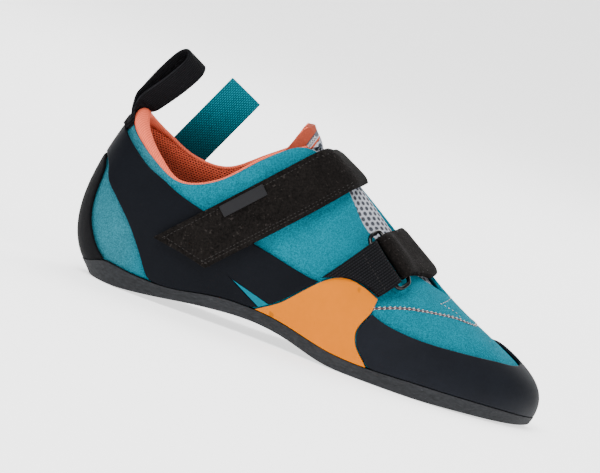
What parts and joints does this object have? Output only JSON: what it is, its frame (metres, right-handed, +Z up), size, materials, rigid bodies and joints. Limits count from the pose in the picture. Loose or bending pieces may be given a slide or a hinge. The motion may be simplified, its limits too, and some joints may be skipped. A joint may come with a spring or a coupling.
{
  "type": "climbing shoe",
  "caption": "Right-foot rock climbing shoe with suede upper, rubber sole, toe and heel rands, fastened straps through rings, and webbing pull loops at the collar.",
  "frame": {"origin": "middle of the shoe's box in plan, on the floor under the sole", "axes": "+X towards the toe, +Y towards the inner side of the foot, +Z up"},
  "size_m": [0.247, 0.0881, 0.121],
  "materials": {
    "sole_rubber": "matte, sanded edge",
    "rand_rubber": "satin",
    "heel_rubber": "matte",
    "patch_rubber": "matte",
    "suede": "suede nap",
    "mesh": "air mesh",
    "board": "matte cloth",
    "strap": "brushed",
    "webbing": "ribbed weave",
    "ring": "gloss black",
    "label": "smooth",
    "side_loop": "ribbed weave"
  },
  "bodies": {
    "root": {"outsole": "sole_rubber", "insole": "board", "upper": "suede", "tongue": "mesh", "toe_rand": "rand_rubber", "heel_rand": "heel_rubber", "tension_band": "rand_rubber", "lateral_patch": "patch_rubber", "upper_strap": "strap", "upper_strap_ring": "ring", "upper_strap_webbing": "webbing", "lower_strap": "strap", "lower_strap_ring": "ring", "lower_strap_webbing": "webbing", "strap_label": "label", "heel_pull_loop": "webbing", "side_pull_loop": "side_loop"}
  },
  "joints": []
}
